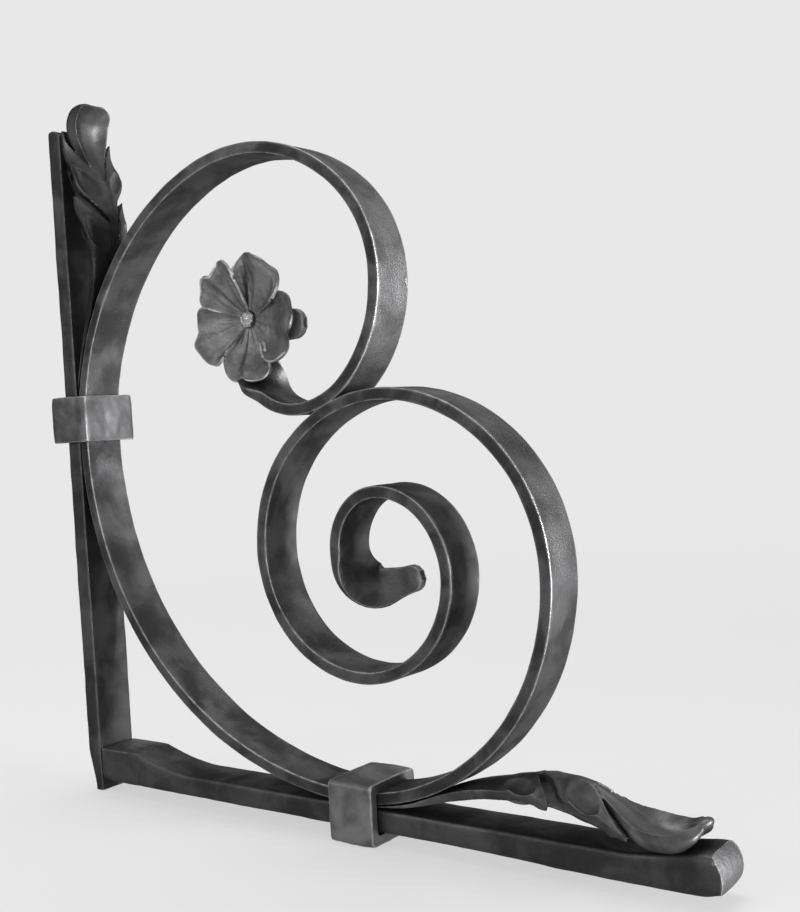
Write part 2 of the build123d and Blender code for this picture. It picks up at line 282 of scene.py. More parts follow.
def scroll_band():
    seat_x = FACE_X + BAND_THICK / 2
    run = BACK_X + ARM_SEAT - seat_x
    rise = WALL_SEAT_LOW - ARM_TOP - BAND_THICK / 2
    slant = cos(pi / 4)
    first = (run * (1 - slant) - rise * slant) / ((1 - slant) ** 2 - slant**2)
    second = (run - first * (1 - slant)) / slant
    sweep = [(first / MM, 45), (second / MM, 45)] + LOWER_SCROLL
    lower, heading = rolled((seat_x, WALL_SEAT_LOW), -90, sweep)
    lower_end, lower_length = end_run(lower, heading, LOWER_END, LOWER_TONGUE)
    turned = [(radius, -turn) for radius, turn in UPPER_SCROLL]
    upper, heading = rolled((seat_x, WALL_SEAT_HIGH), 90, turned)
    turned = [(radius, -turn) for radius, turn in UPPER_END]
    upper_end, upper_length = end_run(upper, heading, turned, UPPER_TONGUE)
    seat = [(seat_x, WALL_SEAT_LOW), (seat_x, WALL_SEAT_HIGH)]
    points = lower_end[::-1] + lower[::-1] + seat + upper + upper_end
    total = path_length(points)

    band = straight_bar(
        "rolled_band",
        Vector((0, -BAND_WIDTH / 2, -BAND_THICK / 2)),
        Vector((total, BAND_WIDTH / 2, BAND_THICK / 2)),
        0,
        BAND_BEVEL,
        BAND_STEP,
    )
    hammer(band, BAND_BLOWS)
    drawn_end(band, 0, 1, lower_length, LOWER_TONGUE, LOWER_TWIST_BY)
    drawn_end(band, total, -1, upper_length, UPPER_TONGUE, UPPER_TWIST_BY)

    line = bpy.data.curves.new("rolling line", "CURVE")
    line.dimensions = "3D"
    line.twist_mode = "MINIMUM"
    spline = line.splines.new("POLY")
    spline.points.add(len(points) - 1)
    gone = 0.0
    for i, (x, z) in enumerate(points):
        if i:
            gone += sqrt((x - points[i - 1][0]) ** 2 + (z - points[i - 1][1]) ** 2)
        at_lower = ease((1 - gone / lower_length) / LOWER_TWIST_BY)
        at_upper = ease((1 - (total - gone) / upper_length) / UPPER_TWIST_BY)
        spline.points[i].co = (x, 0, z, 1)
        spline.points[i].tilt = radians(-90 * (at_lower + at_upper))
    rolling = bpy.data.objects.new("rolling line", line)
    bpy.context.scene.collection.objects.link(rolling)
    fix(band, "CURVE", object=rolling, deform_axis="POS_X")
    bpy.data.objects.remove(rolling)
    finish_piece(band, steel_band, "scroll", "scroll_bar")
    # the tongue's front faces beside the flower get a rougher steel, lighter as painted light in the
    # flower's shade
    band.data.materials.append(steel_tongue_painted_lit)
    heart = (rivet_low + rivet_high) / 2
    for face in band.data.polygons:
        off = face.center - heart
        beside = TONGUE_SHOWS[0] < off.x < TONGUE_SHOWS[1] and abs(off.z) < TONGUE_SHOWS_HIGH
        if beside and face.normal.y < FACES_FRONT:
            face.material_index = 1
    return band


# ---- finishes ------------------------------------------------------------------------------
METAL_SHARE = 0.85
EDGE_TINT = 0.35
RELIEF = 0.6 * MM


def node_at(tree, kind, **inputs):
    node = tree.nodes.new(kind)
    for key, value in inputs.items():
        node.inputs[key].default_value = value
    return node


def spread(tree, value, low, high, to_low=0.0, to_high=1.0):
    """Maps a range of a value onto another, clamped and eased."""
    node = tree.nodes.new("ShaderNodeMapRange")
    node.interpolation_type = "SMOOTHSTEP"
    limits = {"From Min": low, "From Max": high, "To Min": to_low, "To Max": to_high}
    for key, number in limits.items():
        node.inputs[key].default_value = number
    tree.links.new(value, node.inputs["Value"])
    return node.outputs["Result"]


def blend_colour(tree, amount, first, second):
    node = tree.nodes.new("ShaderNodeMix")
    node.data_type = "RGBA"
    tree.links.new(amount, node.inputs["Factor"])
    for socket, value in ((node.inputs["A"], first), (node.inputs["B"], second)):
        if isinstance(value, tuple):
            socket.default_value = value
        else:
            tree.links.new(value, socket)
    return node.outputs["Result"]


def arithmetic(tree, operation, first, second):
    node = tree.nodes.new("ShaderNodeMath")
    node.operation = operation
    for socket, value in zip(node.inputs, (first, second)):
        if isinstance(value, float):
            socket.default_value = value
        else:
            tree.links.new(value, socket)
    return node.outputs["Value"]


def new_group(name, inputs, outputs):
    group = bpy.data.node_groups.new(name, "ShaderNodeTree")
    for label, value in inputs:
        socket = group.interface.new_socket(
            name=label, in_out="INPUT", socket_type="NodeSocketFloat"
        )
        socket.default_value = value
    for label in outputs:
        group.interface.new_socket(
            name=label, in_out="OUTPUT", socket_type="NodeSocketFloat"
        )
    return group, group.nodes.new("NodeGroupInput"), group.nodes.new("NodeGroupOutput")


def hammer_marks():
    """Overlapping dents and the fine pitting of scaled steel: a height, and how patchy it is."""
    group, given, out = new_group(
        "hammer marks", [("Dent Size", 100.0), ("Pitting", 0.4)], ["Height", "Patches"]
    )
    links = group.links
    place = group.nodes.new("ShaderNodeTexCoord").outputs["Object"]
    dents = node_at(group, "ShaderNodeTexVoronoi", Randomness=1.0)
    dents.feature = "SMOOTH_F1"
    dents.inputs["Smoothness"].default_value = 0.6
    links.new(place, dents.inputs["Vector"])
    links.new(given.outputs["Dent Size"], dents.inputs["Scale"])
    pits = node_at(group, "ShaderNodeTexNoise", Scale=900.0, Detail=3.0, Roughness=0.6)
    links.new(place, pits.inputs["Vector"])
    scale = node_at(
        group, "ShaderNodeTexNoise", Scale=42.0, Detail=4.0, Roughness=0.55, Distortion=0.4
    )
    links.new(place, scale.inputs["Vector"])
    rough = arithmetic(group, "MULTIPLY", pits.outputs["Fac"], given.outputs["Pitting"])
    links.new(arithmetic(group, "ADD", dents.outputs["Distance"], rough), out.inputs["Height"])
    links.new(spread(group, scale.outputs["Fac"], 0.36, 0.66), out.inputs["Patches"])
    return group


def rubbed_edges_and_painted_light():
    """Raised edges worn bright by handling and lightened as a painted highlight along the arrises,
    and recesses darkened as painted shade.
    """
    group, given, out = new_group(
        "edge wear and painted light", [("Start", 0.505), ("Full", 0.53)], ["Rubbed", "Painted Recess Shade"]
    )
    links = group.links
    place = group.nodes.new("ShaderNodeTexCoord").outputs["Object"]
    raised = group.nodes.new("ShaderNodeNewGeometry").outputs["Pointiness"]
    uneven = node_at(group, "ShaderNodeTexNoise", Scale=160.0, Detail=3.0, Roughness=0.6)
    links.new(place, uneven.inputs["Vector"])
    edge = group.nodes.new("ShaderNodeMapRange")
    edge.interpolation_type = "SMOOTHSTEP"
    links.new(raised, edge.inputs["Value"])
    links.new(given.outputs["Start"], edge.inputs["From Min"])
    links.new(given.outputs["Full"], edge.inputs["From Max"])
    worn = spread(group, uneven.outputs["Fac"], 0.3, 0.6, 0.35, 1.0)
    # worn edges, lightened also as a painted highlight along the arrises
    links.new(arithmetic(group, "MULTIPLY", edge.outputs["Result"], worn), out.inputs["Rubbed"])
    # painted shade in the recesses, where the surface sinks
    links.new(spread(group, raised, 0.44, 0.495, 1.0, 0.0), out.inputs["Painted Recess Shade"])
    return group


HAMMER_MARKS = hammer_marks()
RUBBED_EDGES_AND_PAINTED_LIGHT = rubbed_edges_and_painted_light()


def grey(value):
    return (value, value, value * 1.02, 1.0)


def forged_steel(
    name,
    dark,
    light,
    rubbed_and_highlight,
    rough,
    dent_size=110.0,
    pitting=0.4,
    bump=0.25,
    start=0.508,
    full=0.545,
):
    """Blackened, waxed steel: patchy scale over dents, its raised edges worn bright and lit with a
    painted highlight.

    Its tones run from dark to light in patches, down to a painted shade in the recesses, and up to
    the worn-and-highlight tone on the edges. The wear and highlight start and are full at two
    measures of how sharply the surface stands out.
    """
    material = bpy.data.materials.new(name)
    material.use_nodes = True
    tree = material.node_tree
    shader = tree.nodes["Principled BSDF"]
    marks = tree.nodes.new("ShaderNodeGroup")
    marks.node_tree = HAMMER_MARKS
    marks.inputs["Dent Size"].default_value = dent_size
    marks.inputs["Pitting"].default_value = pitting
    edges = tree.nodes.new("ShaderNodeGroup")
    edges.node_tree = RUBBED_EDGES_AND_PAINTED_LIGHT
    edges.inputs["Start"].default_value = start
    edges.inputs["Full"].default_value = full
    steel = blend_colour(tree, marks.outputs["Patches"], grey(dark), grey(light))
    # painted shade: the recesses darkened to half the dark tone
    steel = blend_colour(tree, edges.outputs["Painted Recess Shade"], steel, grey(dark * 0.5))
    # edges worn bright by handling, lightened further as a painted highlight along the arrises
    steel = blend_colour(tree, edges.outputs["Rubbed"], steel, grey(rubbed_and_highlight))
    tree.links.new(steel, shader.inputs["Base Color"])
    worn = spread(tree, marks.outputs["Patches"], 0.0, 1.0, rough + 0.07, rough - 0.05)
    polished = spread(tree, edges.outputs["Rubbed"], 0.0, 1.0, 0.0, 0.1)
    tree.links.new(arithmetic(tree, "SUBTRACT", worn, polished), shader.inputs["Roughness"])
    shader.inputs["Metallic"].default_value = METAL_SHARE
    shader.inputs["Specular Tint"].default_value = (EDGE_TINT, EDGE_TINT, EDGE_TINT, 1)
    relief = node_at(tree, "ShaderNodeBump", Strength=bump, Distance=RELIEF)
    tree.links.new(marks.outputs["Height"], relief.inputs["Height"])
    tree.links.new(relief.outputs["Normal"], shader.inputs["Normal"])
    return material


steel_bar = forged_steel(
    "waxed forged bar", 0.032, 0.066, 0.18, 0.52, bump=0.5, pitting=0.7, start=0.51, full=0.56
)
steel_band = forged_steel(
    "waxed rolled band", 0.032, 0.080, 0.24, 0.54, dent_size=90.0, bump=0.6, pitting=0.8
)
# a lighter copy of the leaf steel for the leaf on the arm: painted light from above
steel_leaf_painted_lit = forged_steel(
    "chased leaf steel, painted lit",
    0.05,
    0.115,
    0.32,
    0.50,
    dent_size=160.0,
    bump=0.45,
    start=0.515,
    full=0.6,
)
# a darker copy of the leaf steel for the leaf on the wall bar: painted shade
steel_leaf_painted_shade = forged_steel(
    "shaded leaf steel",
    0.019,
    0.045,
    0.30,
    0.60,
    dent_size=160.0,
    bump=0.45,
    start=0.525,
    full=0.62,
)
steel_petal = forged_steel(
    "petal steel",
    0.09,
    0.18,
    0.45,
    0.48,
    dent_size=330.0,
    pitting=1.0,
    bump=0.6,
    start=0.52,
    full=0.62,
)
steel_collar = forged_steel("wrapped collar steel", 0.055, 0.12, 0.28, 0.46, dent_size=130.0)
steel_arm_collar = forged_steel(
    "wrapped collar steel by the arm", 0.085, 0.185, 0.30, 0.46, dent_size=130.0
)
# rougher than the band, and lighter as painted light on the tongue's end in the flower's shade
steel_tongue_painted_lit = forged_steel(
    "tongue end, rougher and painted lit", 0.16, 0.28, 0.34, 0.75, dent_size=220.0, pitting=1.0, bump=0.6
)
steel_rivet = forged_steel("peened rivet head", 0.14, 0.36, 0.8, 0.3, dent_size=420.0, bump=0.9)
steel_end = forged_steel(
    "dressed bar end", 0.10, 0.19, 0.42, 0.50, dent_size=220.0, pitting=1.0, bump=0.6
)


def finish_piece(piece, material, slot, *nodes):
    """Its steel, and the solids that it stands for, which it hides; slot is not used."""
    piece.data.materials.clear()
    piece.data.materials.append(material)
    shade(piece)
    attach(piece, "root")
    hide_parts(*nodes)
    return piece


# ---- bars ----------------------------------------------------------------------------------
BAR_BEVEL = 1.6 * MM
BAR_STEP = 3 * MM
ARM_BEVEL = 2.6 * MM
ARM_STEP = 2.2 * MM
BAR_GRAIN = 1.05 * MM
BAR_BLOWS = [(14, 0.7), (45, 0.6)]
FOOT_TAPER_RISE = 26 * MM
FOOT_TAPER_IN = 4.5 * MM
FOOT_NARROWING = 0.02
WALL_TOP_FALL = 4.0 * MM
WALL_TOP_RUN = 10 * MM
CROWN_AT = 0.6  # of the bar's thickness, from its face
ROOT_RISE = 18.8 * MM
ROOT_RUN = 75 * MM
ROOT_SLOPE = 0.36
# the arm's free end: upset thicker over a run, its lower corner lifted and its end domed
UPSET_RUN = 44 * MM
UPSET_FULL = 10 * MM
UPSET_RISE = 5.0 * MM
UPSET_DROP = 1.6 * MM
UPSET_CROWN = 0.25
CORNER_RUN = 11 * MM
CORNER_LIFT = 2.2 * MM
FAR_CORNER_LIFT = 1.6 * MM
DOME_OUT = 13.0 * MM
DOME_HALF_WIDTH = 42 * MM
DOME_HALF_HEIGHT = 13.4 * MM
DOME_INSET = 1.0 * MM
DOME_BACK = 45  # how many times further the cutter runs back than out
DOME_MIDDLE = Vector((END_X - DOME_OUT - DOME_INSET, -0.5 * MM, arm_low.z + 6.6 * MM))
END_EDGE_ANGLE = 32


def wall_bar():
    bar = straight_bar("forged_wall_bar", wall_low, wall_high, 2, BAR_BEVEL, BAR_STEP)
    for vertex in bar.data.vertices:
        x, y, z = vertex.co
        in_foot = 1 - ease(z / FOOT_TAPER_RISE)
        depth = (FACE_X - x) / WALL_THICK
        x += FOOT_TAPER_IN * in_foot * depth
        fall = abs(depth - CROWN_AT) / CROWN_AT
        z -= WALL_TOP_FALL * fall**2 * ease((z - wall_high.z + WALL_TOP_RUN) / WALL_TOP_RUN)
        vertex.co = (x, y * (1 - FOOT_NARROWING * in_foot), z)
    soften(bar, BAR_GRAIN, 6)
    hammer(bar, BAR_BLOWS)
    return finish_piece(bar, steel_bar, "bars", "wall_bar")


def upset_end(vertex):
    """The arm's end: jumped up thicker, its lower far corner knocked off."""
    x, y, z = vertex.co
    up = (z - arm_low.z) / ARM_THICK
    across = y / (BAR_WIDTH / 2)
    gone = min(max((x - END_X + UPSET_RUN) / (UPSET_RUN - UPSET_FULL), 0.0), 1.0)
    z += UPSET_RISE * gone**1.2 * up * (1 - UPSET_CROWN * across**4)
    z -= UPSET_DROP * ease((x - END_X + 3 * UPSET_RUN) / (2 * UPSET_RUN)) * (1 - up)
    last = ease((x - END_X + CORNER_RUN) / CORNER_RUN)
    z += last * (1 - up) * (CORNER_LIFT + FAR_CORNER_LIFT * max(across, 0.0) ** 2)
    vertex.co = (x, y, z)


def domed_cut(bar):
    """Dresses the bar's end to a shallow dome with a crisp edge round it."""
    clear_choice()
    bpy.ops.mesh.primitive_uv_sphere_add(
        segments=96, ring_count=64, radius=1, rotation=(0, pi / 2, 0)
    )
    bpy.ops.object.transform_apply(location=False, rotation=True, scale=False)
    cutter = bpy.context.object
    for vertex in cutter.data.vertices:
        x, y, z = vertex.co
        x = x if x > 1e-4 else -DOME_BACK
        vertex.co = (x * DOME_OUT, y * DOME_HALF_WIDTH, z * DOME_HALF_HEIGHT)
    cutter.data.transform(Matrix.Translation(DOME_MIDDLE))
    fix(bar, "BOOLEAN", operation="INTERSECT", object=cutter, solver="EXACT")
    bpy.data.objects.remove(cutter)


def on_dome(face):
    """Whether a face is part of the domed cut."""
    off = face.center - DOME_MIDDLE
    out = Vector((off.x / DOME_OUT, off.y / DOME_HALF_WIDTH, off.z / DOME_HALF_HEIGHT))
    away = Vector((out.x / DOME_OUT, out.y / DOME_HALF_WIDTH, out.z / DOME_HALF_HEIGHT))
    return abs(out.length - 1) < 0.02 and face.normal.dot(away.normalized()) > 0.97


def arm():
    high = Vector((END_X, arm_high.y, ARM_TOP))
    bar = straight_bar("forged_arm", arm_low, high, 0, ARM_BEVEL, ARM_STEP)
    for vertex in bar.data.vertices:
        along = min((vertex.co.x - FACE_X) / ROOT_RUN, 1.0)
        swell = (2 * along**3 - 3 * along**2 + 1) * ROOT_RISE
        swell -= (along**3 - 2 * along**2 + along) * ROOT_SLOPE * ROOT_RUN
        vertex.co.z += swell * (vertex.co.z - arm_low.z) / ARM_THICK
        upset_end(vertex)
    soften(bar, BAR_GRAIN, 7)
    hammer(bar, BAR_BLOWS)
    domed_cut(bar)
    finish_piece(bar, steel_bar, "bars", "arm")
    bar.data.materials.append(steel_end)
    shade(bar, END_EDGE_ANGLE)
    for face in bar.data.polygons:
        if on_dome(face):
            face.material_index = 1
    return bar


# ---- collars -------------------------------------------------------------------------------
COLLAR_CORNER = 3.4 * MM
COLLAR_GRAIN = 0.75 * MM
COLLAR_PILLOW = 0.028
COLLAR_BLOWS = [(8, 0.8)]
COLLAR_SLACK = 0.25 * MM
COLLAR_CLEAR = 9 * MM  # how far the cutter for the opening runs past the strap


def collar(name, low, high, axis, opening_low, opening_high, steel, node):
    """A wrapped strap: rounded outside, slightly pillowed, open for the bars it binds."""
    ring = block(low, high)
    ring.name = name
    ease_arrises(ring, axis, COLLAR_CORNER, 4)
    opening = block(opening_low, opening_high)
    fix(ring, "BOOLEAN", operation="DIFFERENCE", object=opening, solver="EXACT")
    bpy.data.objects.remove(opening)
    soften(ring, COLLAR_GRAIN, 7)
    centre = (low + high) / 2
    reach = (high[axis] - low[axis]) / 2
    for vertex in ring.data.vertices:
        from_middle = abs(vertex.co[axis] - centre[axis]) / reach
        for side in [a for a in range(3) if a != axis]:
            drawn_in = COLLAR_PILLOW * from_middle**3
            vertex.co[side] += (centre[side] - vertex.co[side]) * drawn_in
    hammer(ring, COLLAR_BLOWS)
    return finish_piece(ring, steel, "collars", node)


def collars():
    slack, clear = COLLAR_SLACK, COLLAR_CLEAR
    half = BAR_WIDTH / 2 + slack
    low, high = arm_collar_low, arm_collar_high
    wrap = (high.y - low.y - BAR_WIDTH) / 2
    collar(
        "strap_round_the_arm",
        low,
        high,
        0,
        Vector((low.x - clear, -half, low.z + wrap - slack)),
        Vector((high.x + clear, half, high.z - wrap + slack)),
        steel_arm_collar,
        "arm_collar",
    )
    low, high = wall_collar_low, wall_collar_high
    collar(
        "strap_round_the_wall_bar",
        low,
        high,
        2,
        Vector((low.x + wrap - slack, -half, low.z - clear)),
        Vector((high.x - wrap + slack, half, high.z + clear)),
        steel_collar,
        "wall_collar",
    )


# ---- leaves --------------------------------------------------------------------------------
LEAF_ROOT = 8.2 * MM
LEAF_GRAIN = 0.5 * MM
LEAF_BLOWS = [(7, 0.3)]
# stations: reach, midrib's height on the arm and on the wall, half width on each, fall of
# the sides, dish and thickness
LEAF_BODY = [
    (3, 0.5, 1.0, 12.3, 12.3, 0.0, 0.0, 0.5),
    (14, 2.0, 3.9, 12.3, 12.3, 0.0, 0.0, 1.3),
    (26, 4.8, 8.1, 12.3, 12.3, 0.1, 0.0, 2.2),
    (46, 12.3, 16.8, 12.4, 12.4, 0.3, -0.2, 4.2),
    (61, 17.6, 22.6, 12.6, 12.6, 1.6, -0.3, 5.0),
    (76, 21.4, 26.8, 13.6, 13.6, 3.8, -0.2, 4.8),
    (92, 25.0, 28.2, 16.2, 16.2, 7.5, 0.6, 4.4),
    (104, 25.8, 27.0, 18.0, 18.0, 10.0, 1.2, 4.2),
    (116, 24.2, 23.8, 18.0, 18.0, 11.0, 1.4, 4.0),
    (128, 20.4, 20.4, 18.0, 18.0, 10.6, 1.4, 3.8),
    (140, 16.6, 17.0, 18.0, 18.0, 9.8, 1.2, 3.4),
    (152, 13.0, 13.6, 18.0, 18.0, 7.6, 0.8, 3.0),
]
LEAF_TIP = [
    (106, 24.4, 25.4, 2.2, 2.2, 0.8, 0.0, 2.6),
    (118, 22.8, 22.4, 2.8, 2.8, 0.8, 0.0, 3.0),
    (124, 20.1, 20.0, 4.2, 3.6, 0.8, 0.1, 3.2),
    (130, 16.7, 17.4, 6.4, 4.9, 0.4, 0.3, 3.2),
    (136, 12.7, 14.6, 9.4, 6.6, -0.6, 0.5, 3.2),
    (142, 9.0, 11.8, 12.2, 8.4, -2.2, 0.8, 3.2),
    (148, 6.4, 9.8, 13.5, 10.0, -3.6, 1.0, 3.2),
    (154, 5.2, 9.0, 13.4, 11.2, -4.3, 1.0, 3.2),
    (160, 5.9, 10.2, 12.2, 11.7, -4.0, 1.0, 3.3),
    (165, 8.5, 13.0, 9.8, 11.4, -3.4, 0.8, 3.0),
    (168.5, 11.2, 15.6, 5.0, 9.8, -1.6, 0.4, 2.2),
    (171, 12.6, 17.2, 2.0, 6.6, -0.4, 0.2, 1.4),
]
# outline of the lobes and of the channels between them, from the root out: the first
# lobe's edge to its finger's point, back along its channel, and the same for the second
ARM_LOBES = [
    [(0, 12.5), (58, 12.5), (74, 13.0), (86, 13.2), (95, 14.2), (104.5, 17.2)],
    [(104.5, 17.2), (100.5, 12.2), (95.5, 6.8), (90.5, 1.2)],
    [
        (93, 1.2),
        (99, 4.2),
        (103.5, 8),
        (106.5, 11.4),
        (111, 13.4),
        (119, 13.8),
        (127, 14.2),
        (133, 15.8),
        (140, 18),
    ],
    [(140, 18), (133.5, 12.8), (126, 7.0), (118.5, 1.2)],
]
WALL_LOBES = [
    [(0, 12.5), (58, 12.5), (74, 13.3), (88, 14.6), (100, 16.2), (112, 17.4)],
    [(112, 17.4), (106, 11.8), (100, 6.0), (93, 1.2)],
    [
        (93, 1.2),
        (101.5, 4.6),
        (108.5, 9.2),
        (114.5, 14.2),
        (119, 17.0),
        (126, 17.6),
        (136, 16.8),
        (147, 17.2),
    ],
    [(147, 17.2), (138, 11.4), (130, 6.2), (121, 1.2)],
]
# each lobe's hollow: reach, offset from the midrib, half length, half width, slant and depth
ARM_HOLLOWS = [(86, 9.4, 8.5, 4.6, 0.3, 2.2), (117, 9.2, 8.0, 5.6, 0.35, 2.6)]
WALL_HOLLOWS = [(90, 9.6, 9.5, 5.0, 0.35, 2.0), (121, 10.6, 8.5, 5.4, 0.5, 2.2)]
ARM_TIP_STRETCH = 0.95
WALL_TIP_STRETCH = 0.87
WALL_FLARE = 4.0
WEB_SINK = 3.0
WEB_STRETCH = 0.97
WEB_WIDTH = 0.8
WEB_FALL = 0.76
WEB_UNDER_TIP = 2.4
WEB_FROM = 80
WEB_PAST_FINGERS = 6
SPOON_FROM = 118  # from here on the web stays under the spoon too
CUTTER_LOW = -20  # the block that cuts the outline: its foot and its height
CUTTER_TALL = 70
HULL_SWELL = 0.95  # how much thicker the spoon's flanks are than its middle
# reach, height, half length, half width, half thickness and rise of the nib
ARM_NIB = (166.4, 11.6, 5.8, 5.4, 3.0, 34)
FOLD_ROUND = 0.22
HOLLOW_RIM = 0.5
CHANNEL_RIM = 0.7
SPOON_LIP = 0.6
SPOON_RIB = 0.5
PLATE_STEP = 0.8
MOST_THICK = 8  # the plates' thickness is a share of this


def through(before, low, high, after, t):
    """A value between two others, eased by the ones on either side of them."""
    first = (high - before) * t
    second = (2 * before - 5 * low + 4 * high - after) * t**2
    third = (3 * low - before - 3 * high + after) * t**3
    return 0.5 * (2 * low + first + second + third)


def smooth_line(points, fine=8):
    """A curve through points, each stretch eased by its neighbours."""
    line = []
    last = len(points) - 1
    for i in range(last):
        near = [points[k] for k in (max(i - 1, 0), i, i + 1, min(i + 2, last))]
        for k in range(fine):
            line.append(tuple(through(*four, k / fine) for four in zip(*near)))
    return line + [points[-1]]


def at_station(rows, reach, column):
    """A column's value at a reach, on a smooth line through the stations."""
    fine = [(row[0], row[column]) for row in rows]
    for i, (low, high) in enumerate(zip(fine, fine[1:])):
        if low[0] <= reach <= high[0] or high is fine[-1]:
            before, after = fine[max(i - 1, 0)], fine[min(i + 2, len(fine) - 1)]
            span = high[0] - low[0]
            t = (reach - low[0]) / span
            rise_in = (high[1] - before[1]) / (high[0] - before[0]) * span
            rise_out = (after[1] - low[1]) / (after[0] - low[0]) * span
            return (
                (2 * t**3 - 3 * t**2 + 1) * low[1]
                + (t**3 - 2 * t**2 + t) * rise_in
                + (3 * t**2 - 2 * t**3) * high[1]
                + (t**3 - t**2) * rise_out
            )


def near_line(line, reach, out):
    """Distance from a place in the plan to a line of points."""
    best = 99.0
    for (x0, y0), (x1, y1) in zip(line, line[1:]):
        dx, dy = x1 - x0, y1 - y0
        t = min(max(((reach - x0) * dx + (out - y0) * dy) / (dx * dx + dy * dy), 0), 1)
        best = min(best, sqrt((reach - x0 - t * dx) ** 2 + (out - y0 - t * dy) ** 2))
    return best


def leaf_plate(rows, rib, stretch, channels_at, worked, hull=0.0):
    """A plate through the stations, its upper face worked and its thickness below it."""
    low, high = rows[0][0], rows[-1][0]
    clear_choice()
    rows_along = int((high - low) / PLATE_STEP)
    bpy.ops.mesh.primitive_grid_add(x_subdivisions=rows_along, y_subdivisions=52, size=1)
    plate = bpy.context.object
    thin = plate.vertex_groups.new(name="thickness")
    for vertex in plate.data.vertices:
        reach = low + (vertex.co.x + 0.5) * (high - low)
        out = vertex.co.y * 2
        half = at_station(rows, reach, rib + 2)
        fall, dish, thick = [at_station(rows, reach, column) for column in (5, 6, 7)]
        fold = sqrt(out**2 + FOLD_ROUND**2) - FOLD_ROUND
        fold /= sqrt(1 + FOLD_ROUND**2) - FOLD_ROUND
        height = at_station(rows, reach, rib) - fall * fold - dish * sin(pi * out) ** 2
        height += worked(reach, abs(out * half), out)
        flank = exp(-(((abs(out) - 0.75) / 0.25) ** 2))
        thick *= 1 + hull * flank * ease((reach - 134) / 16) * ease((175 - reach) / 10)
        placed = channels_at + (reach - channels_at) * stretch
        vertex.co = (placed * MM, half * out * MM, height * MM)
        thin.add([vertex.index], thick / MOST_THICK, "REPLACE")
    fix(
        plate,
        "SOLIDIFY",
        thickness=MOST_THICK * MM,
        offset=-1,
        vertex_group="thickness",
        use_quality_normals=True,
    )
    return plate


def plan_cutter(outline):
    """A tall block with the leaf's outline in plan."""
    whole = outline + [(x, -y) for x, y in reversed(outline)]
    mesh = bpy.data.meshes.new("leaf outline")
    corners = [(x * MM, y * MM, CUTTER_LOW * MM) for x, y in whole]
    mesh.from_pydata(corners, [], [range(len(whole))])
    cutter = bpy.data.objects.new("leaf outline", mesh)
    bpy.context.scene.collection.objects.link(cutter)
    edit(cutter, "FACE")
    bpy.ops.object.mode_set(mode="EDIT")
    bpy.ops.mesh.select_all(action="SELECT")
    up = {"value": (0, 0, CUTTER_TALL * MM)}
    bpy.ops.mesh.extrude_region_move(TRANSFORM_OT_translate=up)
    bpy.ops.mesh.select_all(action="SELECT")
    bpy.ops.mesh.normals_make_consistent(inside=False)
    bpy.ops.object.mode_set(mode="OBJECT")
    return cutter


def chasing(lobes, hollows, flare):
    """Hollows in the lobes, rims raised along the channels, the second lobe's flared corner."""
    inner_edges = (lobes[1], lobes[3])

    def worked(reach, away, out):
        height = flare * exp(-(((reach - 124) / 9) ** 2)) * ease((away - 9) / 8)
        for place, offset, long, wide, slant, depth in hollows:
            along = (reach - place) / long
            across = (away - offset - slant * (reach - place)) / wide
            span = sqrt(along**2 + across**2)
            height -= depth * max(0.0, 1 - span**2) ** 0.8
            height += HOLLOW_RIM * exp(-(((span - 1.08) * 5.5) ** 2))
        from_rib = ease((away - 0.6) / 3.5)
        for edge in inner_edges:
            raised = exp(-((near_line(edge, reach, away) / 1.7) ** 2))
            height += CHANNEL_RIM * from_rib * raised
        return height + from_rib * exp(-((near_line(lobes[2], reach, away) / 2.0) ** 2))

    return worked


def unworked(reach, away, out):
    return 0.0


def worked_tip(reach, away, out):
    """The spoon's lip, and a low rib that fades into it."""
    inside = min((1 - abs(out)) * 13, LEAF_TIP[-1][0] - reach)
    lip = SPOON_LIP * exp(-((inside / 1.9) ** 2)) * ease((reach - 128) / 14)
    return lip + SPOON_RIB * exp(-((out / 0.2) ** 2)) * (1 - ease((reach - 124) / 22))


def sunk_station(row, rib):
    """A station of the web that closes the channels, under the lobes and under the spoon."""
    reach, half, fall = row[0], row[rib + 2] * WEB_WIDTH, row[5] * WEB_FALL
    edge = row[rib] - fall - WEB_SINK
    middle = row[rib] - WEB_SINK
    if reach > SPOON_FROM:
        middle = min(middle, at_station(LEAF_TIP, reach, rib) - WEB_UNDER_TIP)
    return (reach, middle, middle, half, half, middle - edge, 0.6, 1.6)


def rolled_nib(reach, height, long, wide, thick, rise):
    """The rounded point that the spoon is drawn up to."""
    clear_choice()
    bpy.ops.mesh.primitive_uv_sphere_add(segments=32, ring_count=20, radius=MM)
    nib = bpy.context.object
    nib.scale = (long, wide, thick)
    nib.rotation_euler = (0, -radians(rise), 0)
    nib.location = (reach * MM, 0, height * MM)
    bpy.ops.object.transform_apply(location=True, rotation=True, scale=True)
    return nib


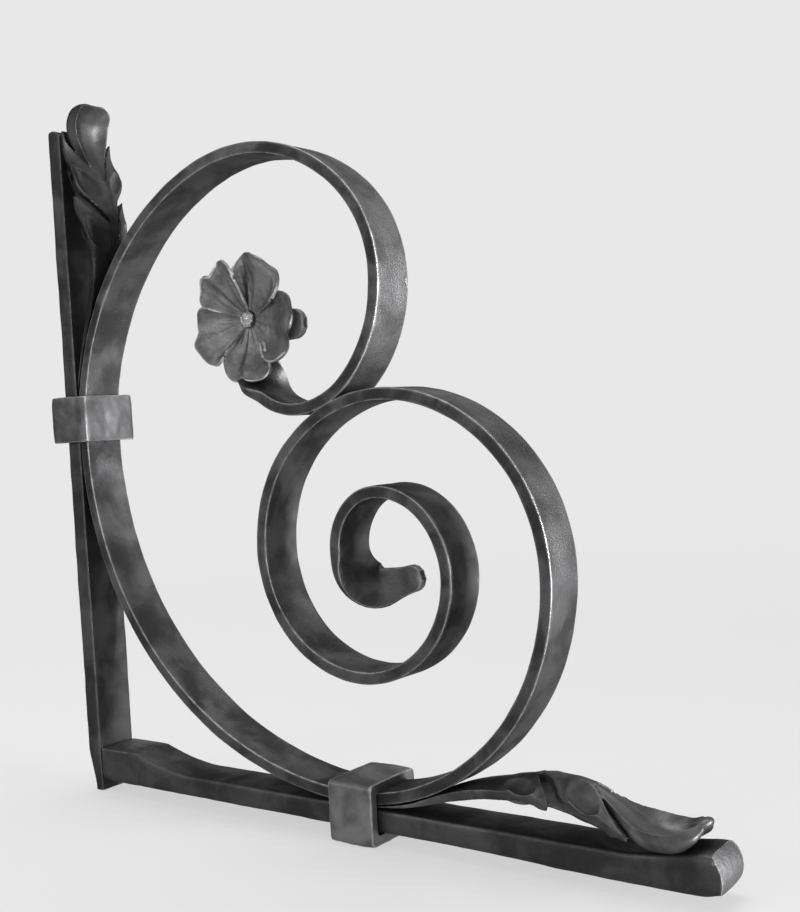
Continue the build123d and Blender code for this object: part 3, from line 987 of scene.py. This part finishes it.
def forged_leaf(name, rib, stretch, lobes, hollows, flare, nib, place, steel, node):
    """Chased lobes cut to their outline, a web under them, the spoon over them, as one skin.

    rib is the column of the midrib's height, and stretch is how far the spoon is drawn out.
    """
    channels_at = lobes[3][-1][0]
    body = leaf_plate(LEAF_BODY, rib, 1, channels_at, chasing(lobes, hollows, flare))
    outline = []
    for edge in lobes:
        outline += smooth_line(edge)[:-1]
    cutter = plan_cutter([(x, max(y, 0.6)) for x, y in outline])
    fix(body, "BOOLEAN", operation="INTERSECT", object=cutter, solver="EXACT", use_self=True)
    bpy.data.objects.remove(cutter)
    web_to = lobes[3][0][0] + WEB_PAST_FINGERS
    web = [sunk_station(row, rib) for row in LEAF_BODY if WEB_FROM < row[0] < web_to]
    parts = [body, leaf_plate(web, rib, WEB_STRETCH, channels_at, unworked)]
    parts.append(leaf_plate(LEAF_TIP, rib, stretch, channels_at, worked_tip, HULL_SWELL))
    if nib:
        parts.append(rolled_nib(*nib))
    leaf = joined(parts)
    leaf.name = name
    soften(leaf, LEAF_GRAIN, 8)
    leaf.data.transform(place)
    hammer(leaf, LEAF_BLOWS)
    return finish_piece(leaf, steel, "leaves", node)


def leaves():
    on_arm = Matrix.Translation((BACK_X + ARM_SEAT + LEAF_ROOT, 0, ARM_TOP))
    forged_leaf(
        "leaf_on_the_arm",
        1,
        ARM_TIP_STRETCH,
        ARM_LOBES,
        ARM_HOLLOWS,
        0.0,
        ARM_NIB,
        on_arm,
        steel_leaf_painted_lit,
        "arm_leaf",
    )
    turned = ((0, 0, 1, FACE_X), (0, -1, 0, 0), (1, 0, 0, wall_collar_high.z), (0, 0, 0, 1))
    forged_leaf(
        "leaf_on_the_wall_bar",
        2,
        WALL_TIP_STRETCH,
        WALL_LOBES,
        WALL_HOLLOWS,
        WALL_FLARE,
        None,
        Matrix(turned),
        steel_leaf_painted_shade,
        "wall_leaf",
    )


# ---- flower --------------------------------------------------------------------------------
FLOWER_RADIUS = 33.5
HEART_RADIUS = 2.4
PETAL_THICKNESS = 1.5
PETAL_BEVEL = 0.35
PETAL_CORNER = 0.30  # how far the corners, the notch and the waver cut into the rim
PETAL_NOTCH = 0.085
PETAL_WAVER = 0.026
PETAL_CUP = 7.2
PETAL_VEINS = 0.34
PETAL_ROLL = 2.0
PETAL_SIDES_FALL = 0.9
# size, direction and half angle of each petal, the lift of its two sides, its ruffle and
# where the ruffle starts
PETALS = [
    (1.00, 129, 33, 2.6, 2.8, 0.9, 0.2),
    (1.02, 61, 41, 0.3, 0.0, 2.0, 1.4),
    (1.06, -15, 40, 0.3, 0.8, 2.2, 2.6),
    (1.00, -89, 40, -0.6, -0.6, 1.6, 0.9),
    (1.05, -163, 35, 1.0, 0.2, 2.0, 2.0),
]


def petal(size, direction, half, left, right, ruffle, phase):
    """One ruffled petal: a grid drawn out from the heart, with veins and a notched rim."""
    clear_choice()
    bpy.ops.mesh.primitive_grid_add(x_subdivisions=36, y_subdivisions=32, size=1)
    piece = bpy.context.object
    for vertex in piece.data.vertices:
        spread_at, out = vertex.co.x * 2, vertex.co.y + 0.5
        swell = half * (1.06 - 0.06 * out)
        turn = radians(direction - spread_at * swell)
        corner = PETAL_CORNER * abs(spread_at) ** 4
        notch = PETAL_NOTCH * exp(-(((spread_at - 0.25 * sin(phase)) / 0.2) ** 2))
        waver = PETAL_WAVER * sin(7 * spread_at + 2 * phase)
        rim = size * FLOWER_RADIUS * (1 - corner - notch - waver - 0.01)
        reach = HEART_RADIUS + (rim - HEART_RADIUS) * out
        forward = PETAL_CUP * out**2
        forward += (left * (1 - spread_at) / 2 + right * (1 + spread_at) / 2) * ease(out * 2.2)
        forward += ruffle * out**2 * cos(2 * pi * (0.95 * spread_at) + phase * 0.4)
        forward += PETAL_VEINS * sin(13 * spread_at + phase) * ease(out * 3) * (1 - 0.5 * out)
        rolled_over = 0.3 + 0.7 * sin(4 * spread_at + phase) ** 2
        forward -= PETAL_ROLL * ease((out - 0.84) / 0.16) * rolled_over
        forward -= PETAL_SIDES_FALL * abs(spread_at) ** 6 * ease(out * 2)
        vertex.co = (reach * cos(turn), reach * sin(turn), forward)
    fix(piece, "SOLIDIFY", thickness=PETAL_THICKNESS, offset=-1)
    fix(piece, "BEVEL", width=PETAL_BEVEL, segments=2, limit_method="ANGLE")
    return piece


def flower():
    bloom = joined([petal(*row) for row in PETALS])
    bloom.name = "five_petals"
    centre = (rivet_low + rivet_high) / 2
    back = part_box("flower")[1].y - PETAL_THICKNESS * MM
    facing = ((MM, 0, 0, centre.x), (0, 0, -MM, back), (0, MM, 0, centre.z), (0, 0, 0, 1))
    bloom.data.transform(Matrix(facing))
    return finish_piece(bloom, steel_petal, "petals", "flower")


RIVET_SHANK = 2.2 * MM
RIVET_SHANK_INSET = 1 * MM  # how far inside the heads the shank stops
RIVET_HEAD = 4.9 * MM
RIVET_HEAD_OVAL = 1.08
RIVET_HEAD_RISE = 2.8 * MM
RIVET_HEAD_SINK = 1.6 * MM
RIVET_GRAIN = 0.25 * MM
RIVET_BLOWS = [(2.0, 1.0)]


def rivet():
    """A peened dome on each side of the tongue and its shank between them."""
    centre = (rivet_low + rivet_high) / 2
    clear_choice()
    bpy.ops.mesh.primitive_cylinder_add(
        vertices=32,
        radius=RIVET_SHANK,
        depth=rivet_high.y - rivet_low.y - 2 * RIVET_SHANK_INSET,
        location=centre,
        rotation=(pi / 2, 0, 0),
    )
    bpy.ops.object.transform_apply(location=True, rotation=True, scale=True)
    pieces = [bpy.context.object]
    for place, inward in ((rivet_low.y, 1), (rivet_high.y, -1)):
        clear_choice()
        bpy.ops.mesh.primitive_uv_sphere_add(segments=32, ring_count=20, radius=1)
        head = bpy.context.object
        head.scale = (RIVET_HEAD, RIVET_HEAD_RISE, RIVET_HEAD * RIVET_HEAD_OVAL)
        head.location = (centre.x, place + inward * RIVET_HEAD_SINK, centre.z)
        bpy.ops.object.transform_apply(location=True, rotation=True, scale=True)
        pieces.append(head)
    peened = joined(pieces)
    peened.name = "peened_rivet"
    soften(peened, RIVET_GRAIN, 3)
    hammer(peened, RIVET_BLOWS)
    return finish_piece(peened, steel_rivet, "rivet", "flower_rivet")


scroll_band()
wall_bar()
arm()
collars()
leaves()
flower()
rivet()


# ---- studio --------------------------------------------------------------------------------
PALE = (0.807, 0.807, 0.807, 1)  # the backdrop as it is seen
ROOM_LIGHT = (0.34, 0.34, 0.345, 1)  # the backdrop as it lights the bracket
STUDIO_REACH = 2.2
FLOOR_COLOUR = (0.8, 0.8, 0.8, 1)
FLOOR_PALED = 0.7  # how far the floor as it is seen goes over to the backdrop
FLOOR_FADE = (0.45, 1.6)  # from where to where the floor fades out, from the middle
# name, place, aim, size, power, spread
LAMPS = [
    ("overhead softbox", (-0.5, 0.6, 3.0), (0, 0, 0.1), (2.2, 1.6), 54.5, 180),
    ("side softbox", (1.3, 0.12, 0.28), (0, 0, 0.5), (0.4, 0.7), 12.5, 52),
    ("front softbox", (-1.0, -1.9, 0.8), (0, 0, 0.2), (0.9, 0.9), 10.0, 180),
    ("front right softbox", (0.9, -1.7, 0.6), (0, 0, 0.2), (0.7, 0.7), 4.5, 180),
]


def seen_directly(tree):
    """1 where the camera sees it, through glass or in a mirror too, and 0 where it lights."""
    paths = tree.nodes.new("ShaderNodeLightPath").outputs
    direct = arithmetic(tree, "MAXIMUM", paths["Is Camera Ray"], paths["Is Transmission Ray"])
    return arithmetic(tree, "MAXIMUM", direct, paths["Is Glossy Ray"])


def blended(tree, share, shader, other):
    """One shader over another, by a share that runs from 0 to 1."""
    mix = tree.nodes.new("ShaderNodeMixShader")
    tree.links.new(share, mix.inputs["Fac"])
    tree.links.new(shader, mix.inputs[1])
    tree.links.new(other, mix.inputs[2])
    return mix.outputs["Shader"]


def pale_room():
    """A pale backdrop that lights the bracket only dimly."""
    world = bpy.data.worlds.new("pale room")
    bpy.context.scene.world = world
    world.use_nodes = True
    tree = world.node_tree
    lit = tree.nodes["Background"]
    lit.inputs["Color"].default_value = ROOM_LIGHT
    seen = tree.nodes.new("ShaderNodeBackground")
    seen.inputs["Color"].default_value = PALE
    room = blended(
        tree, seen_directly(tree), lit.outputs["Background"], seen.outputs["Background"]
    )
    tree.links.new(room, tree.nodes["World Output"].inputs["Surface"])


def pale_floor():
    """A matt floor that takes the shadows and fades into the backdrop."""
    clear_choice()
    bpy.ops.mesh.primitive_circle_add(
        vertices=96, radius=STUDIO_REACH, fill_type="NGON", location=(0, 0, 0)
    )
    floor = bpy.context.object
    floor.name = "pale_floor"
    material = bpy.data.materials.new("pale_floor")
    material.use_nodes = True
    tree = material.node_tree
    matt = tree.nodes["Principled BSDF"]
    matt.inputs["Base Color"].default_value = FLOOR_COLOUR
    matt.inputs["Roughness"].default_value = 1.0
    matt.inputs["Specular IOR Level"].default_value = 0.0
    place = tree.nodes.new("ShaderNodeTexCoord").outputs["Object"]
    from_middle = tree.nodes.new("ShaderNodeVectorMath")
    from_middle.operation = "LENGTH"
    tree.links.new(place, from_middle.inputs[0])
    plain = tree.nodes.new("ShaderNodeEmission")
    plain.inputs["Color"].default_value = PALE
    share = arithmetic(tree, "MULTIPLY", seen_directly(tree), FLOOR_PALED)
    paled = blended(tree, share, matt.outputs["BSDF"], plain.outputs["Emission"])
    clear = tree.nodes.new("ShaderNodeBsdfTransparent")
    kept = spread(tree, from_middle.outputs["Value"], *FLOOR_FADE, 1.0, 0.0)
    faded = blended(tree, kept, clear.outputs["BSDF"], paled)
    tree.links.new(faded, tree.nodes["Material Output"].inputs["Surface"])
    floor.data.materials.append(material)


def lamps():
    for name, place, aim, size, power, spread_angle in LAMPS:
        light = bpy.data.lights.new(name, "AREA")
        light.shape = "RECTANGLE"
        light.size, light.size_y = size
        light.energy = power
        light.spread = radians(spread_angle)
        lamp = bpy.data.objects.new(name, light)
        lamp.location = place
        lamp.rotation_euler = (Vector(aim) - Vector(place)).to_track_quat("-Z", "Y").to_euler()
        bpy.context.scene.collection.objects.link(lamp)


CAMERA_DISTANCE = 0.5679
CAMERA_TARGET = Vector((0.0407, 0, 0.18685))
CAMERA_AZIMUTH = 36.43
CAMERA_ELEVATION = 1.33
CAMERA_ROLL = -3.52
CAMERA_LENS = 47.08


def camera():
    turn, rise = radians(CAMERA_AZIMUTH), radians(CAMERA_ELEVATION)
    back = Vector((sin(turn) * cos(rise), -cos(turn) * cos(rise), sin(rise)))
    level = (-back).cross(Vector((0, 0, 1))).normalized()
    upright = level.cross(-back)
    tilt = radians(CAMERA_ROLL)
    right = cos(tilt) * level + sin(tilt) * upright
    up = cos(tilt) * upright - sin(tilt) * level
    data = bpy.data.cameras.new("camera")
    data.lens = CAMERA_LENS
    data.sensor_width = 36.0
    data.clip_start = 0.01
    view = bpy.data.objects.new("camera", data)
    place = CAMERA_TARGET + back * CAMERA_DISTANCE
    view.matrix_world = Matrix(
        (
            (right.x, up.x, back.x, place.x),
            (right.y, up.y, back.y, place.y),
            (right.z, up.z, back.z, place.z),
            (0, 0, 0, 1),
        )
    )
    bpy.context.scene.collection.objects.link(view)
    bpy.context.scene.camera = view
    bpy.context.scene.view_settings.view_transform = "Standard"


pale_room()
pale_floor()
lamps()
camera()
